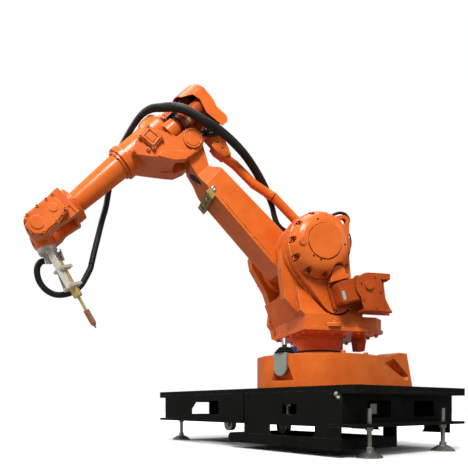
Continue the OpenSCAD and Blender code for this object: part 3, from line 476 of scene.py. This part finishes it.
# Short cables that leave one fitting and go into another on the same body
CABLE_STEP = 5
CABLES = {
    # Loop behind the near lifting lug, and the thin lead down the case's back edge
    "lug_cable": ("turret", TURRET, 13, [
        (28, 166, 752), (10, 167, 774), (-14, 168, 789), (-40, 168, 796), (-64, 168, 790),
        (-78, 168, 772), (-76, 168, 752), (-62, 167, 738), (-44, 166, 728), (-30, 164, 712)]),
    "case_lead": ("turret", TURRET, 6, [
        (-30, 176, 724), (-58, 177, 722), (-76, 178, 702), (-84, 179, 676), (-84, 180, 650),
        (-74, 182, 624), (-56, 184, 606)]),
    # Motor cables under the hood
    "near_motor_cable": ("upper_arm", UPPER, 9, [
        (-132, 52, 124), (-130, 56, 142), (-118, 60, 157), (-100, 60, 163), (-82, 56, 156),
        (-70, 48, 144), (-62, 40, 130)]),
    "mid_motor_cable": ("upper_arm", UPPER, 10, [
        (-140, 6, 178), (-152, 22, 178), (-160, 42, 167), (-168, 60, 146), (-175, 70, 118),
        (-172, 72, 88), (-166, 66, 60), (-158, 58, 52)]),
    "far_motor_cable": ("upper_arm", UPPER, 9, [
        (-140, -52, 126), (-150, -40, 150), (-160, -16, 160), (-170, 14, 150), (-174, 36, 122),
        (-172, 44, 90), (-166, 40, 62), (-160, 34, 50)]),
    # Black leads in front of the rod's pin
    "rod_lead_a": ("upper_arm", UPPER, 14, [
        (-152, 60, 46), (-153, 61, 20), (-146, 60, -6), (-130, 57, -26), (-110, 52, -30),
        (-94, 46, -14), (-86, 38, 8), (-76, 26, 26), (-66, 16, 36)]),
    "rod_lead_b": ("upper_arm", UPPER, 13, [
        (-162, 50, 46), (-164, 52, 14), (-157, 53, -14), (-140, 51, -36), (-116, 47, -42),
        (-94, 42, -26), (-80, 36, -4), (-68, 26, 14), (-56, 16, 28)]),
}
for cable_name, (body, place, diameter, route) in CABLES.items():
    line = [place @ p for p in smooth_path(route, CABLE_STEP)]
    lay_cord(cable_name, body, line, diameter, "medium", 12)


# Fittings
THREAD_PITCH = 2.1


def bolts(name, body, slot, material, place, spots, radius, height):
    """Socket-head screws at spots, and the dark hexagons in them, painted shade, as a piece of
    their own.
    """
    heads = Piece(name, body, slot, material, place)
    # Dark hexagons deep in the sockets: painted shade
    socket_shade = Piece(name + "_socket_shade", body, "black_steel", PLASTIC, place)
    bore, bottom = radius * 0.55, height * 0.55
    profile = [(0, bottom), (bore, bottom), (bore, height), (radius * 0.86, height),
               (radius, height * 0.86), (radius, 0)]
    for spot in spots:
        heads.revolve(profile, spot, 18)
        socket_shade.prism(polygon(6, radius * 0.54), height * 0.1, spot @ mm(0, 0, height * 0.56))
    heads.done()
    socket_shade.done()


def hex_nut(piece, where, radius, height, stud=0.0):
    """A chamfered hexagonal bolt head, or a nut with the end of a stud standing out of it."""
    piece.prism(polygon(6, radius), height, where, chamfer=radius * 0.12)
    if stud:
        piece.revolve([(stud, height), (stud, height * 1.5), (stud * 0.8, height * 1.65),
                       (0, height * 1.65)], where, 14)


def thread_profile(start, turns):
    """The profile of a levelling screw's thread that starts at a height."""
    profile = [(8.8, start)]
    for i in range(turns):
        profile += [(9.5, start + 1.2 + i * THREAD_PITCH), (8.9, start + 2.25 + i * THREAD_PITCH)]
    return profile


def circle_spots(facing, radius, angles):
    """Spots on a circle about the way they face."""
    return [facing @ turn(a, "Z") @ mm(radius, 0, 0) for a in angles]


# Gear covers: a screw in each pocket, small plugs on the dome, and the screws of the case below
CASE_Y = 240
COVER_BOLT_R = 134
COVER_BOLTS = [on_circle(COVER_BOLT_R, i * 360 / 11 - 30, (AXIS_2_X, AXIS_2_Z)) for i in range(11)]
# Along x and z, and how far out the step is that each screw sits on
CASE_BOLTS = ((147, 474, 226), (92, 408, 226), (-34, 540, 240), (-48, 352, 240), (20, 334, 240))
COVER_PLUGS = ((33, 90), (52, -65), (19, -80), (-90, -8))
# The dome rises from its rim to the flat disc along a quarter of an ellipse
DOME_R = 139
DISC_R = 77
DOME_RISE = 54
RIM_Y = CASE_Y + 16
for side, name, facing in SIDES:
    cover_spots = [mm(x, side * (CASE_Y + 12), z) @ facing for x, z in COVER_BOLTS]
    case_spots = [mm(x, side * y, z) @ facing for x, z, y in CASE_BOLTS]
    bolts("cover_screws_" + name, "turret", "orange_paint", ORANGE, TURRET, cover_spots, 8.5, 12)
    bolts("case_screws_" + name, "turret", "orange_paint", ORANGE, TURRET, case_spots, 8, 9)
    plugs = Piece("cover_plugs_" + name, "turret", "black_steel", PLASTIC, TURRET)
    for u, v in COVER_PLUGS:
        rise = math.acos((math.hypot(u, v) - DISC_R) / (DOME_R - DISC_R))
        plugs.revolve([(0, 1.5), (3.4, 1.5), (4, 0.8), (4, -6)],
                      mm(AXIS_2_X + u, side * (RIM_Y + DOME_RISE * math.sin(rise)),
                         AXIS_2_Z + v) @ facing, 14)
    plugs.done()

# Side motors: guard screws, flange screws and a blank label on the near one
SIDE_MOTOR_X = -4
SIDE_MOTOR_Z = 408
SIDE_MOTOR_TILT = 17
GUARD_BOLTS = ((-52, 442), (-116, 471), (-66, 372), (-146, 408), (-126, 340))
for side, name, facing in SIDES:
    guard_spots = [mm(x, side * (CASE_Y + 95), z) @ facing for x, z in GUARD_BOLTS]
    bolts("guard_screws_" + name, "turret", "motor_orange", MOTOR_TONE_AND_SHADE, TURRET, guard_spots, 5.2, 3.6)
    flange = (mm(SIDE_MOTOR_X, side * RIM_Y, SIDE_MOTOR_Z) @ facing
              @ turn(SIDE_MOTOR_TILT * side, "Z"))
    flange_spots = [flange @ mm(x, y, 0) for x, y in ((48, -51), (48, 51), (-48, 51), (-48, -51))]
    bolts("flange_screws_" + name, "turret", "motor_orange", MOTOR_TONE_AND_SHADE, TURRET, flange_spots, 6.2, 6)
label = Piece("side_motor_label", "turret", "aluminium", LABEL, TURRET)
label.prism(round_outline(14, 38, 1, 2), LABEL_THICK,
            mm(SIDE_MOTOR_X, CASE_Y + 84, SIDE_MOTOR_Z) @ NEAR @ turn(SIDE_MOTOR_TILT, "Z")
            @ mm(30, 12, 0))
label.done()

# Turret: hanging screws under the plate's rim, and the small pad on its near edge
RIM_SPOTS = ([(156, y) for y in (-128, -60, 8, 76, 144, 212)]
             + [(x, 236) for x in (96, 34, -28, -90, -150)]
             + [(-228, y) for y in (-150, -75, 0, 75, 150)]
             + [(x, -236) for x in (40, -20, -80, -140)])
bolts("rim_screws", "turret", "orange_paint", ORANGE, TURRET,
      [mm(x, y, 250) @ DOWN for x, y in RIM_SPOTS], 8.5, 10)
pad_arc = [(34 * math.cos(math.radians(a)), 30 * math.sin(math.radians(a)))
           for a in range(0, 181, 12)]
pad = Piece("plate_pad", "turret", "orange_paint", ORANGE, TURRET)
pad.prism(pad_arc + [(-34, -12), (34, -12)], 18, mm(30, 240, 266.2), chamfer=3)
pad.done()
bolts("plate_pad_screw", "turret", "orange_paint", ORANGE, TURRET, [mm(30, 252, 284.2)], 9, 8)

# Foot: plunger and small blue part by the boot, and the four bolts that hold the foot
BOOT = mm(0, 0, DECK_TOP) @ turn(10.5, "Z")
plunger = Piece("plunger", "base", "bare_steel", STEEL, BOOT)
plunger.revolve([(10.1, 34), (12.5, 34), (12.5, 37.5), (10.8, 38.5), (10.8, 64), (9.5, 67.2),
                 (0, 67.2)], mm(267, 0, 157), 24)
plunger.done()
blue = Piece("sensor_block", "base", "black_rubber", BLUE, BOOT)
blue.prism(round_outline(26, 22, 3), 30, mm(240, 30, 156), chamfer=2)
blue.done()
FOOT_PAD_TOP = 418
foot_bolts = Piece("foot_bolts", "base", "orange_paint", ORANGE)
for x, y in ((112, 256), (-40, 256), (112, -256), (-40, -256)):
    hex_nut(foot_bolts, mm(x, y, FOOT_PAD_TOP), 11, 15)
foot_bolts.done()

# Strips that close the side of the foot's two front bores
STRIP_FACE = ((289.3, -13), (290.1, -9), (290.3, -4), (290.3, 0), (290.3, 4), (290.1, 9),
              (289.3, 13))
strip_outline = ([(285, -11)] + [(math.sqrt(r * r - t * t), t) for r, t in STRIP_FACE]
                 + [(285, 11)])
strip = Piece("foot_bore_strips", "base", "orange_paint", ORANGE)
for angle in (45, -45):
    strip.prism(strip_outline, 149.3, mm(0, 0, DECK_TOP + 0.2) @ turn(angle, "Z"))
strip.done()

# Lower arm: cap screw by the buffer, and the buffer's own screws
cap = Piece("buffer_cap", "lower_arm", "bare_steel", BRIGHT, LOWER)
cap.revolve([(12.5, -2), (12.5, 4), (11.5, 5.2), (7.5, 5.2), (7.5, 7.5), (6.8, 8.5), (3.5, 8.5),
             (3.5, 4), (0, 4)], mm(95, 90, 497) @ NEAR, 24)
cap.done()
bolts("buffer_screws", "lower_arm", "bare_steel", STEEL, LOWER,
      [mm(134, y, 490) @ turn(83.7, "Y") for y in (-60, 0, 60)], 7.5, 7)

# Lower arm: a dark sheet on the inclined front face, painted shade of the slot's recess
SLOT_FACE = mm(88, 0, 595) @ turn(75.07, "Y")
SLOT_SHADE_OUTLINE = ((38, -44), (47, -42), (50, -34), (44, -14), (26, 10), (-4, 30), (-22, 34), (-28, 26),
         (-22, 10), (2, -12), (22, -32))
slot_shade = Piece("front_slot_shade", "lower_arm", "black_rubber", RUBBER, LOWER)
slot_shade.prism([(-w, v) for v, w in SLOT_SHADE_OUTLINE], 1.2, SLOT_FACE, chamfer=0.6)
slot_shade.done()

# Housing: screws of the drive cover, of the bosses and of the motors' flanges
COVER_PLATE = mm(143, 86, 111) @ turn(9, "Y") @ NEAR
NEAR_MOTOR = (52, 90)
MID_MOTOR = (0, 145)
FAR_MOTOR = (-52, 90)
bolts("drive_cover_screws", "upper_arm", "orange_paint", ORANGE, UPPER,
      [COVER_PLATE @ mm(x, y, 12) for x in (-28, 28) for y in (-35, 35)], 6.2, 5)
bolts("boss_screws", "upper_arm", "orange_paint", ORANGE, UPPER,
      [mm(x, 94, z) @ NEAR for x, z in ((240, 116), (186, 84))], 5.5, 4)
# The middle motor has its screws in the upper half only
bolts("motor_flange_screws", "upper_arm", "motor_orange", MOTOR_TONE_AND_SHADE, UPPER,
      [mm(-71, *on_circle(30, angle, motor)) @ BEHIND
       for motor in (NEAR_MOTOR, MID_MOTOR, FAR_MOTOR)
       for angle in (20, 70, 130, 200, 250, 310) if motor != MID_MOTOR or angle < 180], 4.2, 4)

# Near drive motor: blank labels, the cable's band, ribs, connector, and plugs behind all three
LABEL_R = 37.2
BAND_R = 38.5
motor_labels = Piece("drive_motor_labels", "upper_arm", "aluminium", LABEL, UPPER)
motor_labels.wrap(NEAR_MOTOR, LABEL_R, -52, -20, -53, -27)
motor_labels.wrap(NEAR_MOTOR, LABEL_R, 62, 88, -44, -20)
motor_labels.done()
band_line = [UPPER @ p for p in metres((-6, *on_circle(BAND_R, angle, NEAR_MOTOR))
                                       for angle in range(-80, 119, 6))]
band = Piece("motor_cable_band", "upper_arm", "black_rubber", RUBBER)
band.tube(band_line, [3.8] * len(band_line), 10)
band.done()
ribs = Piece("near_motor_ribs", "upper_arm", "motor_orange", MOTOR_TONE_AND_SHADE, UPPER)
for x in (-24, -30, -36, -42):
    ribs.revolve([(36.5, -1.6), (38.8, -1.2), (38.8, 1.2), (36.5, 1.6)],
                 mm(x, *NEAR_MOTOR) @ AHEAD, 40)
ribs.done()
connector = Piece("motor_connector", "upper_arm", "black_rubber", PLASTIC, UPPER)
connector.prism(round_outline(30, 22, 4), 20, mm(-20, 58, 124.5) @ turn(-12, "X"), chamfer=3)
connector.revolve([(8.5, 0), (8.5, 12), (7.5, 14), (7.5, 20), (6, 21), (0, 21)],
                  mm(-6, 58, 136) @ AHEAD, 16)
connector.done()
rear_plugs = Piece("motor_rear_plugs", "upper_arm", "black_rubber", PLASTIC, UPPER)
for y, z in ((52, 118), (0, 174), (-52, 118)):
    rear_plugs.prism(round_outline(34, 24, 5), 14, mm(-130, y, z), chamfer=3)
rear_plugs.done()

# The sleeve narrows onto the hose and bends with it
REDUCER_POINTS = 30
forearm_line = hose_lines["hose_forearm"]
reducer = Piece("sleeve_reducer", "upper_arm", "black_rubber", RUBBER)
reducer.tube(forearm_line[:REDUCER_POINTS],
             [13.2 + 2.9 * (1 + math.cos(math.pi * i / (REDUCER_POINTS - 1)))
              for i in range(REDUCER_POINTS)], 18)
reducer.done(blend=("upper_arm", "forearm", forearm_line[0], forearm_line[-1]))

# Plug where the black leads meet in front of the rod's pin
plug = Piece("rod_lead_plug", "upper_arm", "black_rubber", PLASTIC, UPPER)
plug.revolve([(0, 0), (10.5, 0), (12.5, 3), (12.5, 14), (10.5, 15), (10.5, 20), (12.5, 21),
              (12.5, 36), (9, 40), (0, 40)], mm(-116, 51, 16) @ turn(128, "Y"), 24)
plug.done()

# Tie band at the rod's lower bend
ROD_SLANT = math.degrees(math.atan2(28, 110))
tie = Piece("rod_tie", "rod", "black_rubber", PLASTIC, ROD)
tie.revolve([(20, -2.8), (21.6, -2.4), (21.6, 2.4), (20, 2.8)],
            mm(-18.6, 0, 295.5) @ turn(ROD_SLANT, "Y"), 32)
tie.done()

# Forearm and wrist: flange screws at both ends of the tube, and the screws of the wrist covers
bolts("tube_flange_screws", "forearm", "orange_paint", ORANGE, UPPER @ mm(302.3, 0, ELBOW_RISE),
      circle_spots(AHEAD, 57.5, range(15, 360, 45)), 4.2, 4)
bolts("wrist_flange_screws", "forearm", "orange_paint", ORANGE, WRIST @ mm(-190, 0, 0),
      circle_spots(BEHIND, 60, range(30, 360, 60)), 5.5, 5)
WRIST_BOLTS = ([on_circle(45, angle) for angle in range(-80, 90, 32)]
               + [(-45, 46), (-90, 44), (-122, 42), (-60, -44), (-100, -36), (-122, -28)])
for side, name, facing in SIDES:
    bolts("wrist_screws_" + name, "forearm", "orange_paint", ORANGE, WRIST,
          [mm(x, side * 131, z) @ facing for x, z in WRIST_BOLTS], 6.2, 4.2)

# Webs that close the lower half of each side arm up to the flange
WEB = ((-165, 61), (-140, 61), (-62, 51), (-58, 18), (-154, 18), (-165, 22))
webs = Piece("wrist_webs", "forearm", "orange_paint", ORANGE, WRIST)
for y in (-96, 62):
    webs.prism(WEB, 34, mm(0, y, 0) @ NEAR)
webs.done()

# Tool: flat bar on the near side, and bright plates with their screws on the bracket
bar = Piece("bracket_front_bar", "tool", "aluminium", ALUMINIUM, TORCH)
bar.prism([(-168, -4), (-168, -24), (-162, -28), (6, -28), (6, 0), (-156, 0)], 5,
          mm(0, 20.5, 0) @ NEAR, chamfer=1)
bar.done()
PLATE_SPOTS = (160, 222)
plates = Piece("bracket_plates", "tool", "aluminium", BRIGHT, TOOL)
for x, width in zip(PLATE_SPOTS, (28, 26)):
    plates.prism(round_outline(width, 24, 2, 3), 4, mm(x, 10, -20) @ NEAR, chamfer=0.6)
plates.done()
bolts("bracket_screws", "tool", "bare_steel", STEEL, TOOL,
      [mm(x, 14, -20) @ NEAR for x in PLATE_SPOTS], 4.8, 4.5)

# Torch: clamp screws, knurled collar and dark tip
clamp_spots = [mm(x, *on_circle(26, angle)) @ AHEAD for x in (-74, 6) for angle in (0, 270)]
bolts("clamp_screws", "tool", "bare_steel", BRIGHT, TORCH, clamp_spots, 4.2, 4.2)
ridges = [(19.2, 0)]
for height in range(10, 34, 4):
    ridges += [(19.8, height), (19.2, height + 2)]
collar = Piece("torch_collar", "tool", "torch_brass", BRASS, TORCH)
collar.revolve(ridges + [(19.2, 40), (17, 42.5), (12, 43), (6.6, 44.5), (6.6, 46)],
               mm(6, 0, 0) @ AHEAD, 36)
collar.done()
tip = Piece("contact_tip", "tool", "nozzle_copper", PLASTIC, TORCH)
tip.revolve([(7.2, -0.6), (7.2, 0.4), (3.4, 1), (3, 10), (1.8, 11.8), (0, 11.8)],
            mm(184.5, 0, 0) @ AHEAD, 18)
tip.done()

# Skid: corner stub with its nut, and the steel seen through the window and the pocket
stub = Piece("corner_stub", "base", "bare_steel", STEEL)
hex_nut(stub, mm(375, 450, 238) @ AHEAD, 10, 6, stud=5.5)
stub.revolve([(7.5, 0), (7.5, 3), (5.2, 4), (5.2, 10), (0, 10.8)], mm(375, 461, 225) @ AHEAD, 14)
stub.done()
inner = Piece("window_bracket", "base", "bare_steel", STEEL)
inner.prism(round_outline(10, 40, 1, 2), 8, mm(350, 163, 194))
inner.prism(round_outline(10, 11, 1, 2), 36, mm(350, 163, 158))
inner.prism(round_outline(40, 6, 1, 2), 40, mm(161, 450, 163))
inner.done()

# Skid: threads of the levelling screws, below and above the end beams' flange
threads = Piece("screw_threads", "base", "bare_steel", STEEL)
for x in (-252, 252):
    for y in (502.5, -832.5):
        for start, turns in ((40, 35), (128, 26)):
            threads.revolve(thread_profile(start, turns), mm(x, y, 0), 16)
threads.done()


# Floor: it gives back less light than the camera sees, so the undersides stay dark
FLOOR_SIZE = 12
FLOOR_LIT = (0.24, 0.24, 0.235)
FLOOR_SEEN = (0.97, 0.97, 0.965)
WHITE = (1.0, 1.0, 1.0)
floor_bm = bmesh.new()
bmesh.ops.create_grid(floor_bm, x_segments=1, y_segments=1, size=FLOOR_SIZE)
floor_mesh = bpy.data.meshes.new("floor")
floor_bm.to_mesh(floor_mesh)
floor_bm.free()
floor = add_object("floor", floor_mesh)
floor_material = bpy.data.materials.new("floor")
floor_mesh.materials.append(floor_material)
tree = Shading(floor_material)
shader = tree.nodes["Principled BSDF"].inputs
seen = tree.node("LightPath")["Is Camera Ray"]
tree.put(tree.mix(seen, FLOOR_LIT, FLOOR_SEEN), shader["Base Color"])
tree.put(0.8, shader["Roughness"])
# Away from the object the floor is plain white to the camera
distance = tree.node("VectorMath", {0: tree.node("TexCoord")["Object"],
                                    1: Vector((0.1, -0.3, 0.0))}, operation="DISTANCE")["Value"]
tree.put(WHITE, shader["Emission Color"])
tree.put(tree.times(seen, tree.ramp(distance, 0.7, 2.4)), shader["Emission Strength"])

# World: soft light on the object, white to the camera
WORLD_LIGHT = 0.22
world = bpy.data.worlds.new("world")
bpy.context.scene.world = world
tree = Shading(world)
background = tree.nodes["Background"].inputs
tree.put(WHITE, background["Color"])
tree.put(tree.ramp(tree.node("LightPath")["Is Camera Ray"], 0.0, 1.0, WORLD_LIGHT, 1.0),
         background["Strength"])


def area_light(name, place, target, size, power):
    data = bpy.data.lights.new(name, "AREA")
    data.shape = "SQUARE"
    data.size = size
    data.energy = power
    lamp = add_object(name, data)
    lamp.location = place
    aim(lamp, Vector(target) - Vector(place))


area_light("key", (3.1, 2.5, 4.6), (0.2, -0.1, 0.8), 1.6, 325)
area_light("fill", (-1.8, 4.0, 2.6), (0.2, 0, 0.8), 2.5, 30)
area_light("front", (3.8, -2.4, 3.0), (0.3, -0.2, 0.8), 2.2, 120)
area_light("top", (0.4, -0.6, 4.8), (0.3, -0.2, 0.6), 2.5, 100)

bpy.context.scene.view_settings.view_transform = "Standard"
